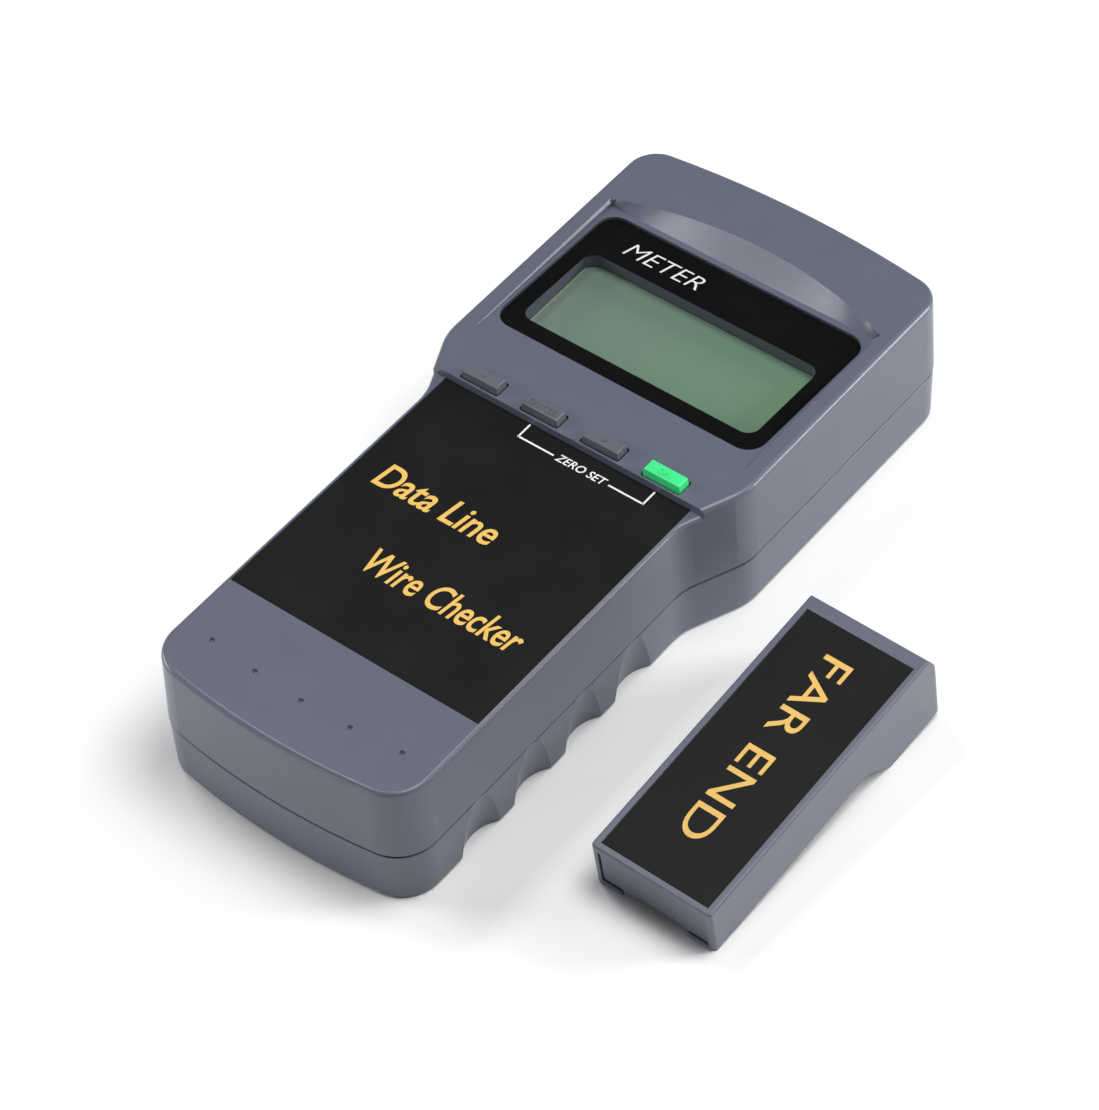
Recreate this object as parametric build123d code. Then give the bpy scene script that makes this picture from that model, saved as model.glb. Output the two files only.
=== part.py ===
"""Hand-held network cable tester with its separate wire-map remote.

The tester lies on its back: +Z is up out of its face, +Y runs towards the display end
and the origin is the middle of its back. All sizes are in millimetres. The remote
rests beside it on the thick end's lower edge and on the two feet of its thin end.
"""
import math
import os

from build123d import *

# Tester outline in plan, at the joint between the two shells
HEAD_HALF_WIDTH = 40.6
HANDLE_HALF_WIDTH = 34.0
HALF_LENGTH = 91.4
END_BULGE = 3.3
HEAD_CORNER_RADIUS = 8.0
HANDLE_CORNER_RADIUS = 9.6
WAIST_START_Y = 1.4
WAIST_END_Y = 16.2
WAIST_RADIUS = 14.0

# Tester heights
JOINT_Z = 14.2
JOINT_GAP = 0.55
JOINT_EDGE_RADIUS = 0.25
HANDLE_Z = 33.2
HEAD_Z = 35.0
STEP_Y = 7.0
WALL = 2.2
FLOOR = 2.2
HANDLE_CEILING_Z = HANDLE_Z - 2.2
HEAD_CEILING_Z = HEAD_Z - 2.4
UPPER_DRAFT = 1.8
LOWER_DRAFT = 1.2
LOWER_INSET = 0.1
TONGUE_INSET = 1.15
TONGUE_HEIGHT = 1.5
HEAD_EDGE_RADIUS = 1.3
HANDLE_EDGE_RADIUS = 1.1
BACK_EDGE_RADIUS = 1.0
LOWER_CAVITY_HANDLE_HALF = 28.8

# Finger grooves in the sides of the back shell
GROOVE_FIRST_Y = -15.7
GROOVE_PITCH = 16.9
GROOVE_COUNT = 4
GROOVE_RADIUS = 9.3
GROOVE_DEPTH = 2.5
GROOVE_LEAN = 10.5

# Front label and the row of small dimples below it
LABEL_WIDTH = 64.6
LABEL_LENGTH = 70.0
LABEL_THICKNESS = 0.2
LABEL_RECESS = 0.3
LABEL_GAP = 0.15
DIMPLE_COUNT = 5
DIMPLE_PITCH = 12.4
DIMPLE_Y = -79.2
DIMPLE_ARC_RADIUS = 195.0
DIMPLE_RADIUS = 0.7
DIMPLE_DEPTH = 0.6

# Display: a recess that deepens towards the top end, with a curved ramp beyond it
RECESS_HALF_WIDTH = 35.5
RECESS_NEAR_Y = 20.5
RECESS_FAR_Y = 68.9
RECESS_DEPTH = 1.8
RECESS_BEVEL_NEAR = 0.15
RECESS_BEVEL_FAR = 0.55
RAMP_MIDDLE_Y = 76.0
RAMP_END_X = 34.8
RAMP_END_Y = 69.8
RECESS_SLOPE = math.degrees(math.atan(RECESS_DEPTH / (RECESS_FAR_Y - RECESS_NEAR_Y)))
WINDOW_Y = 46.4
WINDOW_WIDTH = 69.3
WINDOW_LENGTH = 41.8
WINDOW_CORNER = 4.5
WINDOW_THICKNESS = 0.7
MASK_THICKNESS = 0.12
VIEW_WIDTH = 61.5
VIEW_LENGTH = 25.0
VIEW_CORNER = 3.0
VIEW_Y = 42.8
WELL_BOTTOM_Z = 29.6
WELL_HALF_X = 36.5
WELL_LOW_Y = 24.2
WELL_HIGH_Y = 68.6

# Keys in a row above the label
KEY_PITCH = 16.0
KEY_XS = [(index - 1.5) * KEY_PITCH for index in range(4)]
KEY_Y = 9.7
KEY_WIDTH = 9.6
KEY_LENGTH = 3.7
KEY_CLEARANCE = 0.35
KEY_TOP_Z = 36.7
KEY_TAPER = 0.25
KEY_FLANGE_WIDTH = 12.0
KEY_FLANGE_LOW_Y = 7.5
KEY_FLANGE_HIGH_Y = 12.9
KEY_FLANGE_TOP_Z = HEAD_CEILING_Z - 0.2
KEY_FLANGE_THICKNESS = 0.9
KEY_STEM_WIDTH = 4.0
KEY_STEM_LENGTH = 3.0
SWITCH_SIZE = 6.0
SWITCH_HEIGHT = 3.6
PLUNGER_RADIUS = 1.7
PLUNGER_TOP_Z = 29.1
PLUNGER_BOTTOM_Z = 25.2
PLUNGER_CLEARANCE = 0.08

# Main circuit board
BOARD_TOP_Z = 24.0
BOARD_THICKNESS = 1.6
BOARD_BOTTOM_Z = BOARD_TOP_Z - BOARD_THICKNESS
BOARD_HEAD_HALF = 35.0
BOARD_HANDLE_HALF = 26.0
BOARD_LOW_Y = -34.0
BOARD_WAIST_Y = 16.0
BOARD_HIGH_Y = 84.0

# Liquid-crystal display stack on the board
LCD_WIDTH = 66.0
LCD_LENGTH = 30.0
LCD_TOP_Z = 29.1
LCD_THICKNESS = 2.1
LCD_FRAME_WIDTH = 72.0
LCD_FRAME_LENGTH = 36.0
LCD_LIP = 0.5
BACKLIGHT_WIDTH = 64.0
BACKLIGHT_LENGTH = 26.0
BACKLIGHT_THICKNESS = 3.0
STRIP_WIDTH = 1.6
STRIP_LENGTH = 60.0

# Modular jack, eight positions
JACK_WIDTH = 15.9
JACK_DEPTH = 17.0
JACK_HEIGHT = 13.4
JACK_CLEARANCE = 0.2
JACK_XS = [-12.5, 12.5]
JACK_FRONT_Y = 90.0
PORT_WIDTH = 11.9
PORT_TOP = 2.4
PORT_HEIGHT = 7.4
PORT_DEPTH = 14.0
LATCH_WIDTH = 6.4
LATCH_HEIGHT = 1.5
LATCH_SLOT_WIDTH = 3.4
LATCH_SLOT_HEIGHT = 1.0
CONTACT_COUNT = 8
CONTACT_PITCH = 1.02
CONTACT_SIZE = 0.4
CONTACT_DROP = 2.6

# Nine-volt battery bay in the handle
BAY_HALF_WIDTH = 14.6
BAY_LOW_Y = -83.0
BAY_HIGH_Y = -25.0
BAY_TOP_Z = 20.9
BAY_WALL = 1.4
BAY_ROOF = 1.2
DOOR_GAP = 0.3
DOOR_THICKNESS = 1.8
DOOR_BOTTOM_Z = 0.3
DOOR_PIN_RADIUS = 0.6
DOOR_PIN_CLEARANCE = 0.06
DOOR_PIN_LENGTH = 1.2
BATTERY_WIDTH = 26.5
BATTERY_HEIGHT = 17.5
BATTERY_BODY_LENGTH = 46.4
BATTERY_LOW_Y = -82.4
BATTERY_BOTTOM_Z = 2.4
BATTERY_EDGE = 2.0
TERMINAL_SPACING = 12.7
TERMINAL_RADII = [2.8, 3.8]
TERMINAL_LENGTH = 2.1
SNAP_WIDTH = 25.0
SNAP_HEIGHT = 12.6
SNAP_THICKNESS = 4.0
LEAD_RADIUS = 0.65
LEAD_XS = {"battery_lead_red": -3.0, "battery_lead_black": 3.0}
LEAD_RISE_Y = -27.3
LEAD_BEND = 3.2

# Screws
CASE_SCREWS_HEAD = [(-33.0, 70.0), (33.0, 70.0)]
CASE_SCREWS_HANDLE = [(-24.5, -80.0), (24.5, -80.0)]
BOARD_SCREWS = [(-31.0, 20.0), (31.0, 20.0)]
BOSS_RADIUS = 3.2
POST_RADIUS = 3.9
POST_BORE_RADIUS = 3.1
SCREW_CLEARANCE_RADIUS = 1.6
SCREW_RADIUS = 1.25
SCREW_HEAD_RADIUS = 2.7
SCREW_HEAD_HEIGHT = 2.0
HEAD_SEAT_Z = 12.0
HANDLE_SEAT_Z = 6.0
SCREW_TIP_CLEARANCE = 1.0
BOARD_SCREW_RADIUS = 1.0
BOARD_SCREW_HEAD_RADIUS = 2.2
BOARD_SCREW_HEAD_HEIGHT = 1.6
BOARD_BOSS_RADIUS = 2.5

# Remote, in its own frame: Y runs from the thin end to the thick end, Z = 0 is its face
REMOTE_WIDTH = 30.0
REMOTE_LENGTH = 76.2
REMOTE_THIN = 13.2
REMOTE_STEP_DEPTH = 19.7
REMOTE_END_DEPTH = 19.6
REMOTE_STEP_Y = 58.5
REMOTE_RAMP_Y = 50.8
REMOTE_WALL = 1.6
REMOTE_FLOOR = 1.3
REMOTE_END_LEAN = [(-2.7, 0.0), (-1.15, -3.0), (-0.3, -6.7)]
REMOTE_END_RADIUS = 1.0
REMOTE_CORNER_RADIUS = 1.6
REMOTE_THIN_CORNER_RADIUS = 1.0
REMOTE_EDGE_RADIUS = 0.5
CHANNEL_FOOT_WIDTH = 16.8
CHANNEL_TOP_WIDTH = 11.0
CHANNEL_HEIGHT = 2.1
CHANNEL_END_Y = 49.0
CHANNEL_WALL = 1.3
REMOTE_PANEL_INSET = 0.35
REMOTE_PANEL_THICKNESS = 1.5
REMOTE_PANEL_GAP = 0.35
REMOTE_FLANGE_HALF = 13.0
REMOTE_FLANGE_THICKNESS = 1.2
REMOTE_LABEL_WIDTH = 26.6
REMOTE_LABEL_LENGTH = 68.5
REMOTE_LABEL_Y = 1.7
REMOTE_BOARD_TOP = -1.9
REMOTE_BOARD_THICKNESS = 1.2
REMOTE_BOARD_HALF = 12.8
REMOTE_BOARD_LOW_Y = 4.0
REMOTE_BOARD_HIGH_Y = 70.4
REMOTE_JACK_FRONT_Y = 74.2
REMOTE_STAKES = [(-11.0, 10.0), (11.0, 10.0), (-11.0, 50.0), (11.0, 50.0)]
REMOTE_STAKE_RADIUS = 0.8
REMOTE_SCREWS = [(-11.2, 9.0), (11.2, 9.0)]
REMOTE_SCREW_RADIUS = 0.9
REMOTE_SCREW_HEAD_RADIUS = 1.7
REMOTE_SCREW_HEAD_HEIGHT = 0.8

# Where the remote lies
REMOTE_X = 73.45
REMOTE_Y = -62.2
REMOTE_TURN = -1.0
REMOTE_TILT = math.degrees(math.atan((REMOTE_STEP_DEPTH - REMOTE_THIN) / REMOTE_STEP_Y))


def block(low, high):
    """Box between two corners."""
    size = [b - a for a, b in zip(low, high)]
    middle = [(a + b) / 2 for a, b in zip(low, high)]
    return Pos(*middle) * Box(*size)


def rod(x, y, low_z, high_z, radius):
    """Upright cylinder."""
    return Pos(x, y, (low_z + high_z) / 2) * Cylinder(radius, high_z - low_z)


def tester_outline(inset=0.0, handle_half=None):
    """Plan of the tester: wide head, waist, narrower handle and bulging ends."""
    head = HEAD_HALF_WIDTH - inset
    handle = handle_half or HANDLE_HALF_WIDTH - inset
    end = HALF_LENGTH - inset
    shoulder = end - END_BULGE
    right = [(handle, -shoulder), (handle, WAIST_START_Y), (head, WAIST_END_Y), (head, shoulder)]
    left = [(-x, y) for x, y in reversed(right)]
    with BuildSketch() as sketch:
        with BuildLine():
            Polyline(*right)
            ThreePointArc(right[-1], (0, end), left[0])
            Polyline(*left)
            ThreePointArc(left[-1], (0, -end), right[0])
        make_face()
        for side, radius in ((1, HEAD_CORNER_RADIUS), (-1, HANDLE_CORNER_RADIUS)):
            corners = [v for v in sketch.vertices() if v.Y * side > shoulder - 1]
            fillet(corners, radius - inset)
        waist = [v for v in sketch.vertices() if WAIST_START_Y - 0.1 < v.Y < WAIST_END_Y + 0.1]
        fillet(waist, WAIST_RADIUS)
    return sketch.sketch


def raised(outline, low_z, high_z, draft=0.0):
    """Outline pulled up from one height to another."""
    return extrude(Plane.XY.offset(low_z) * outline, high_z - low_z, taper=draft)


def rounded_block(location, width, length, low_z, high_z, corner):
    """Plate with rounded corners, in the given frame."""
    face = Pos(0, 0, low_z) * RectangleRounded(width, length, corner)
    return location * extrude(face, high_z - low_z)


def edges_at_height(shape, height, keep):
    """Level edges of a shape at one height."""
    chosen = []
    for edge in shape.edges():
        box = edge.bounding_box()
        if abs(box.min.Z - height) < 0.01 and abs(box.max.Z - height) < 0.01 and keep(edge.center().Y):
            chosen.append(edge)
    return chosen


def recess_z(y):
    """Height of the display recess at a place along the tester."""
    return HEAD_Z - RECESS_DEPTH * (y - RECESS_NEAR_Y) / (RECESS_FAR_Y - RECESS_NEAR_Y)


WINDOW_FRAME = Pos(0, WINDOW_Y, recess_z(WINDOW_Y)) * Rot(-RECESS_SLOPE, 0, 0)
VIEW_FRAME = WINDOW_FRAME * Pos(0, VIEW_Y - WINDOW_Y, 0)


def cut_above(face):
    """Space above a face, to cut away with."""
    return Solid.extrude(face, Vector(0, 0, 3))


def recess_bevel(side):
    """Bevel along one side of the display recess, wider where the recess is deeper."""
    edge = side * RECESS_HALF_WIDTH
    corners = []
    for y, width in ((RECESS_NEAR_Y + 1, RECESS_BEVEL_NEAR), (RECESS_FAR_Y + 0.5, RECESS_BEVEL_FAR)):
        ends = [(edge, y, HEAD_Z - width), (edge + side * width, y, HEAD_Z)]
        corners += ends if not corners else ends[::-1]
    return cut_above(make_face(Polyline(*corners, close=True)).face())


def display_recess():
    """Sloping recess around the display and the curved ramp at its far end."""
    over = HEAD_Z + 1
    slope = Polyline((RECESS_NEAR_Y, HEAD_Z), (RECESS_FAR_Y, HEAD_Z - RECESS_DEPTH),
                     (RECESS_FAR_Y, over), (RECESS_NEAR_Y, over), close=True)
    recess = extrude(Plane.YZ * make_face(slope), RECESS_HALF_WIDTH, both=True)
    foot_y, foot_z = RECESS_FAR_Y - 0.01, HEAD_Z - RECESS_DEPTH
    foot = Line((-RECESS_HALF_WIDTH, foot_y, foot_z), (RECESS_HALF_WIDTH, foot_y, foot_z))
    crest = ThreePointArc((-RAMP_END_X, RAMP_END_Y, HEAD_Z), (0, RAMP_MIDDLE_Y, HEAD_Z),
                          (RAMP_END_X, RAMP_END_Y, HEAD_Z))
    ramp = Face.make_surface_from_curves(foot.edge(), crest.edge())
    return recess + cut_above(ramp) + recess_bevel(-1) + recess_bevel(1)


def jack_opening():
    """Space that the end walls leave round one jack, in the jack's frame."""
    half = JACK_WIDTH / 2 + JACK_CLEARANCE
    return block((-half, -5, -JACK_HEIGHT - JACK_CLEARANCE), (half, 6, JACK_CLEARANCE))


def jack():
    """Jack body: its face is at Y = 0, its board side at Z = 0."""
    body = block((-JACK_WIDTH / 2, -JACK_DEPTH, -JACK_HEIGHT), (JACK_WIDTH / 2, 0, 0))
    body = chamfer(body.edges().group_by(Axis.Y)[-1], 0.4)
    bottom = -PORT_TOP - PORT_HEIGHT
    mouth = block((-PORT_WIDTH / 2, -PORT_DEPTH, bottom), (PORT_WIDTH / 2, 1, -PORT_TOP))
    latch = block((-LATCH_WIDTH / 2, -PORT_DEPTH, bottom - LATCH_HEIGHT), (LATCH_WIDTH / 2, 1, bottom))
    slot_low = bottom - LATCH_HEIGHT - LATCH_SLOT_HEIGHT
    slot = block((-LATCH_SLOT_WIDTH / 2, -PORT_DEPTH, slot_low), (LATCH_SLOT_WIDTH / 2, 1, bottom))
    return body - mouth - latch - slot


def jack_contacts():
    """Row of spring wires that slope back from the mouth of the jack."""
    wires = []
    front = (-2.0, -PORT_TOP - CONTACT_SIZE / 2)
    back = (-10.5, front[1] - CONTACT_DROP)
    length = math.dist(front, back)
    lean = math.degrees(math.atan2(CONTACT_DROP, front[0] - back[0]))
    for index in range(CONTACT_COUNT):
        x = (index - (CONTACT_COUNT - 1) / 2) * CONTACT_PITCH
        middle = Pos(x, (front[0] + back[0]) / 2, (front[1] + back[1]) / 2)
        wires.append(middle * Rot(lean, 0, 0) * Box(CONTACT_SIZE, length, CONTACT_SIZE))
    return Compound(children=wires)


def front_shell():
    """Upper half of the case with the display well, key slots and screw bosses."""
    outer = raised(tester_outline(), JOINT_Z, HEAD_Z, UPPER_DRAFT)
    outer -= block((-60, -120, HANDLE_Z), (60, STEP_Y, HEAD_Z + 1))
    outer = fillet(edges_at_height(outer, HEAD_Z, lambda y: y > STEP_Y + 0.1), HEAD_EDGE_RADIUS)
    outer = fillet(edges_at_height(outer, HANDLE_Z, lambda y: y < STEP_Y - 0.1), HANDLE_EDGE_RADIUS)
    outer = fillet(edges_at_height(outer, JOINT_Z, lambda y: True), JOINT_EDGE_RADIUS)
    cavity = raised(tester_outline(WALL), JOINT_Z, HEAD_CEILING_Z, UPPER_DRAFT)
    cavity -= block((-60, -120, HANDLE_CEILING_Z), (60, STEP_Y + 0.2, HEAD_Z))
    shell = outer - cavity - raised(tester_outline(TONGUE_INSET), JOINT_Z, JOINT_Z + 1.0)
    shell += block((-WELL_HALF_X, WELL_LOW_Y, WELL_BOTTOM_Z), (WELL_HALF_X, WELL_HIGH_Y, HEAD_CEILING_Z))
    for x, y in CASE_SCREWS_HEAD:
        shell += rod(x, y, BOARD_TOP_Z, HEAD_CEILING_Z, BOSS_RADIUS)
        shell -= rod(x, y, BOARD_TOP_Z, HEAD_CEILING_Z - SCREW_TIP_CLEARANCE, SCREW_RADIUS)
    for x, y in CASE_SCREWS_HANDLE:
        shell += rod(x, y, JOINT_Z, HANDLE_CEILING_Z, BOSS_RADIUS)
        shell -= rod(x, y, JOINT_Z, HANDLE_CEILING_Z - SCREW_TIP_CLEARANCE, SCREW_RADIUS)
    for x, y in BOARD_SCREWS:
        shell += rod(x, y, BOARD_TOP_Z, HEAD_CEILING_Z, BOARD_BOSS_RADIUS)
        shell -= rod(x, y, BOARD_TOP_Z, HEAD_CEILING_Z - SCREW_TIP_CLEARANCE, BOARD_SCREW_RADIUS)
    shell -= display_recess()
    shell -= rounded_block(WINDOW_FRAME, WINDOW_WIDTH + 0.2, WINDOW_LENGTH + 0.2,
                           -WINDOW_THICKNESS - MASK_THICKNESS, 3, WINDOW_CORNER + 0.1)
    shell -= rounded_block(VIEW_FRAME, VIEW_WIDTH + 0.6, VIEW_LENGTH + 0.6, -6, 3, VIEW_CORNER + 0.3)
    half = LABEL_WIDTH / 2 + LABEL_GAP
    low_y = STEP_Y - LABEL_LENGTH - LABEL_GAP
    shell -= block((-half, low_y, HANDLE_Z - LABEL_RECESS), (half, STEP_Y, HANDLE_Z + 1))
    for x in KEY_XS:
        slot = RectangleRounded(KEY_WIDTH + 2 * KEY_CLEARANCE, KEY_LENGTH + 2 * KEY_CLEARANCE, 0.6)
        shell -= raised(Pos(x, KEY_Y) * slot, HEAD_CEILING_Z - 1, HEAD_Z + 1)
    for index in range(DIMPLE_COUNT):
        x = (index - (DIMPLE_COUNT - 1) / 2) * DIMPLE_PITCH
        y = DIMPLE_Y + x * x / (2 * DIMPLE_ARC_RADIUS)
        shell -= Pos(x, y, HANDLE_Z) * Rot(180, 0, 0) * Cone(
            DIMPLE_RADIUS, DIMPLE_RADIUS / 2, DIMPLE_DEPTH, align=(Align.CENTER, Align.CENTER, Align.MIN))
    for x in JACK_XS:
        shell -= Pos(x, JACK_FRONT_Y, BOARD_BOTTOM_Z) * jack_opening()
    return shell


def back_shell():
    """Lower half of the case with the finger grooves, battery bay and screw posts."""
    rim_z = JOINT_Z - JOINT_GAP
    bottom_inset = LOWER_INSET + rim_z * math.tan(math.radians(LOWER_DRAFT))
    pulled = raised(tester_outline(bottom_inset), 0, rim_z, -LOWER_DRAFT)
    outer = fillet(edges_at_height(pulled, 0, lambda y: True), BACK_EDGE_RADIUS)
    outer = fillet(edges_at_height(outer, rim_z, lambda y: True), JOINT_EDGE_RADIUS)
    lean = math.radians(GROOVE_LEAN)
    bottom_half = HANDLE_HALF_WIDTH - bottom_inset
    axis_x = bottom_half - GROOVE_DEPTH + GROOVE_RADIUS / math.cos(lean)
    for index in range(GROOVE_COUNT):
        y = GROOVE_FIRST_Y - index * GROOVE_PITCH
        for side in (-1, 1):
            outer -= Pos(side * axis_x, y, 0) * Rot(0, side * GROOVE_LEAN, 0) * Cylinder(GROOVE_RADIUS, 50)
    outer += raised(tester_outline(TONGUE_INSET + 0.05), rim_z - 0.5, rim_z + TONGUE_HEIGHT)
    shell = outer - raised(tester_outline(WALL + 0.2, LOWER_CAVITY_HANDLE_HALF), FLOOR, JOINT_Z + 5)
    for x, y in CASE_SCREWS_HEAD:
        shell += rod(x, y, FLOOR / 2, BOARD_BOTTOM_Z, POST_RADIUS)
    for x, y in CASE_SCREWS_HANDLE:
        shell += rod(x, y, FLOOR / 2, JOINT_Z, POST_RADIUS)
    shell += block((-BAY_HALF_WIDTH - BAY_WALL, BAY_LOW_Y - BAY_WALL, FLOOR / 2),
                   (BAY_HALF_WIDTH + BAY_WALL, BAY_HIGH_Y + BAY_WALL, BAY_TOP_Z + BAY_ROOF))
    for x, y in CASE_SCREWS_HEAD + CASE_SCREWS_HANDLE:
        seat = HEAD_SEAT_Z if y > 0 else HANDLE_SEAT_Z
        shell -= rod(x, y, -1, seat, POST_BORE_RADIUS)
        shell -= rod(x, y, seat, 30, SCREW_CLEARANCE_RADIUS)
    shell -= block((-BAY_HALF_WIDTH, BAY_LOW_Y, -1), (BAY_HALF_WIDTH, BAY_HIGH_Y, BAY_TOP_Z))
    shell -= block((-6, LEAD_RISE_Y - 2, BAY_TOP_Z - 1), (6, LEAD_RISE_Y + 2, BAY_TOP_Z + 5))
    pin_half = BAY_HALF_WIDTH + DOOR_PIN_LENGTH
    shell -= door_pin(pin_half, DOOR_PIN_RADIUS + DOOR_PIN_CLEARANCE)
    for x in JACK_XS:
        shell -= Pos(x, JACK_FRONT_Y, BOARD_BOTTOM_Z) * jack_opening()
    return shell


DOOR_AXIS_Y = BAY_LOW_Y + DOOR_GAP + DOOR_THICKNESS / 2
DOOR_AXIS_Z = DOOR_BOTTOM_Z + DOOR_THICKNESS / 2


def door_pin(half_length, radius):
    """Cylinder along the battery door's hinge line."""
    return Pos(0, DOOR_AXIS_Y, DOOR_AXIS_Z) * Rot(0, 90, 0) * Cylinder(radius, 2 * half_length)


def battery_door():
    """Flush door with a rounded hinge edge, hinge pins, thumb grip ribs and a latch tongue."""
    half = BAY_HALF_WIDTH - DOOR_GAP
    far_y = BAY_HIGH_Y - DOOR_GAP
    top_z = DOOR_BOTTOM_Z + DOOR_THICKNESS
    door = block((-half, DOOR_AXIS_Y, DOOR_BOTTOM_Z), (half, far_y, top_z))
    door += door_pin(half, DOOR_THICKNESS / 2)
    door += door_pin(BAY_HALF_WIDTH + DOOR_PIN_LENGTH - 0.2, DOOR_PIN_RADIUS)
    for side in (-1, 1):
        low_x, high_x = sorted((side * 5.0, side * 5.8))
        door -= block((low_x, far_y - 9, DOOR_BOTTOM_Z - 1), (high_x, far_y + 1, top_z + 1))
    for index in range(4):
        y = far_y - 3.0 - index * 1.6
        door -= block((-3.6, y - 0.4, DOOR_BOTTOM_Z - 1), (3.6, y + 0.4, DOOR_BOTTOM_Z + 0.4))
    return door


def battery():
    """Nine-volt block battery without its terminals."""
    body = block((-BATTERY_WIDTH / 2, BATTERY_LOW_Y, BATTERY_BOTTOM_Z),
                 (BATTERY_WIDTH / 2, BATTERY_LOW_Y + BATTERY_BODY_LENGTH, BATTERY_BOTTOM_Z + BATTERY_HEIGHT))
    return fillet(body.edges().filter_by(Axis.Y), BATTERY_EDGE)


BATTERY_FRONT_Y = BATTERY_LOW_Y + BATTERY_BODY_LENGTH
BATTERY_MIDDLE_Z = BATTERY_BOTTOM_Z + BATTERY_HEIGHT / 2


def battery_studs(growth=0.0, length=TERMINAL_LENGTH):
    """Pair of snap studs on the end of the battery."""
    studs = []
    for side, radius in zip((-1, 1), TERMINAL_RADII):
        place = Pos(side * TERMINAL_SPACING / 2, BATTERY_FRONT_Y + length / 2, BATTERY_MIDDLE_Z)
        studs.append(place * Rot(90, 0, 0) * Cylinder(radius + growth, length))
    return Compound(children=studs)


def battery_snap():
    """Connector that snaps over the battery's studs."""
    low_y = BATTERY_FRONT_Y + 0.3
    snap = block((-SNAP_WIDTH / 2, low_y, BATTERY_MIDDLE_Z - SNAP_HEIGHT / 2),
                 (SNAP_WIDTH / 2, low_y + SNAP_THICKNESS, BATTERY_MIDDLE_Z + SNAP_HEIGHT / 2))
    snap = fillet(snap.edges().filter_by(Axis.Y), 3.0)
    return snap - battery_studs(0.2, TERMINAL_LENGTH + 0.2)


def battery_lead(x):
    """Wire from the snap connector up to the circuit board."""
    start_y = BATTERY_FRONT_Y + 0.3 + SNAP_THICKNESS
    corner = (x, LEAD_RISE_Y, BATTERY_MIDDLE_Z)
    path = FilletPolyline((x, start_y, BATTERY_MIDDLE_Z), corner, (x, LEAD_RISE_Y, BOARD_BOTTOM_Z),
                          radius=LEAD_BEND)
    section = Plane(origin=path @ 0, z_dir=path % 0) * Circle(LEAD_RADIUS)
    return sweep(section, path)


def main_board():
    """Circuit board with a wide head part and a narrower handle part."""
    board = block((-BOARD_HEAD_HALF, BOARD_WAIST_Y, BOARD_BOTTOM_Z),
                  (BOARD_HEAD_HALF, BOARD_HIGH_Y, BOARD_TOP_Z))
    board += block((-BOARD_HANDLE_HALF, BOARD_LOW_Y, BOARD_BOTTOM_Z),
                   (BOARD_HANDLE_HALF, BOARD_WAIST_Y, BOARD_TOP_Z))
    for x, y in CASE_SCREWS_HEAD:
        board -= rod(x, y, 0, 40, SCREW_CLEARANCE_RADIUS)
    for x, y in BOARD_SCREWS:
        board -= rod(x, y, 0, 40, BOARD_SCREW_RADIUS + 0.2)
    return board


def key_cap(x):
    """Key with a tapered top, a flange under the case and a stem on its switch."""
    middle = Pos(x, KEY_Y)
    cap = raised(middle * RectangleRounded(KEY_WIDTH, KEY_LENGTH, 0.4), KEY_FLANGE_TOP_Z, HEAD_Z - 0.2)
    crown_taper = math.degrees(math.atan(KEY_TAPER / (KEY_TOP_Z - HEAD_Z)))
    crown = raised(middle * RectangleRounded(KEY_WIDTH, KEY_LENGTH, 0.4), HEAD_Z - 0.2, KEY_TOP_Z, crown_taper)
    crown = fillet(edges_at_height(crown, KEY_TOP_Z, lambda y: True), 0.25)
    flange_low_z = KEY_FLANGE_TOP_Z - KEY_FLANGE_THICKNESS
    cap += crown
    cap += block((x - KEY_FLANGE_WIDTH / 2, KEY_FLANGE_LOW_Y, flange_low_z),
                 (x + KEY_FLANGE_WIDTH / 2, KEY_FLANGE_HIGH_Y, KEY_FLANGE_TOP_Z))
    cap += block((x - KEY_STEM_WIDTH / 2, KEY_Y - KEY_STEM_LENGTH / 2, PLUNGER_TOP_Z),
                 (x + KEY_STEM_WIDTH / 2, KEY_Y + KEY_STEM_LENGTH / 2, flange_low_z))
    return cap


def switch_bodies():
    """The four switch bodies on the board, each with a bore for its plunger."""
    bodies = []
    for x in KEY_XS:
        half = SWITCH_SIZE / 2
        top_z = BOARD_TOP_Z + SWITCH_HEIGHT
        body = block((x - half, KEY_Y - half, BOARD_TOP_Z), (x + half, KEY_Y + half, top_z))
        bodies.append(body - rod(x, KEY_Y, BOARD_TOP_Z + 0.5, top_z + 1, PLUNGER_RADIUS + PLUNGER_CLEARANCE))
    return Compound(children=bodies)


def lcd_frame():
    """Holder that clips the glass, backlight and strips onto the board."""
    frame = rounded_block(Pos(0, VIEW_Y), LCD_FRAME_WIDTH, LCD_FRAME_LENGTH, BOARD_TOP_Z,
                          LCD_TOP_Z + LCD_LIP, 1.0)
    frame -= Pos(0, VIEW_Y, 0) * block((-LCD_WIDTH / 2 - 0.2, -LCD_LENGTH / 2 - 0.2, 0),
                                       (LCD_WIDTH / 2 + 0.2, LCD_LENGTH / 2 + 0.2, LCD_TOP_Z))
    return frame - Pos(0, VIEW_Y, 0) * block((-LCD_WIDTH / 2 + LCD_LIP, -LCD_LENGTH / 2 + LCD_LIP, 0),
                                             (LCD_WIDTH / 2 - LCD_LIP, LCD_LENGTH / 2 - LCD_LIP, 40))


def plate_at_view(width, length, low_z, high_z, y_shift=0.0):
    """Plain plate centred under the display window."""
    middle_y = VIEW_Y + y_shift
    return block((-width / 2, middle_y - length / 2, low_z), (width / 2, middle_y + length / 2, high_z))


def contact_strips():
    """Two rubber strips that connect the glass to the board."""
    shift = LCD_LENGTH / 2 - STRIP_WIDTH / 2
    glass_low_z = LCD_TOP_Z - LCD_THICKNESS
    strips = [plate_at_view(STRIP_LENGTH, STRIP_WIDTH, BOARD_TOP_Z, glass_low_z, side * shift)
              for side in (-1, 1)]
    return Compound(children=strips)


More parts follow.
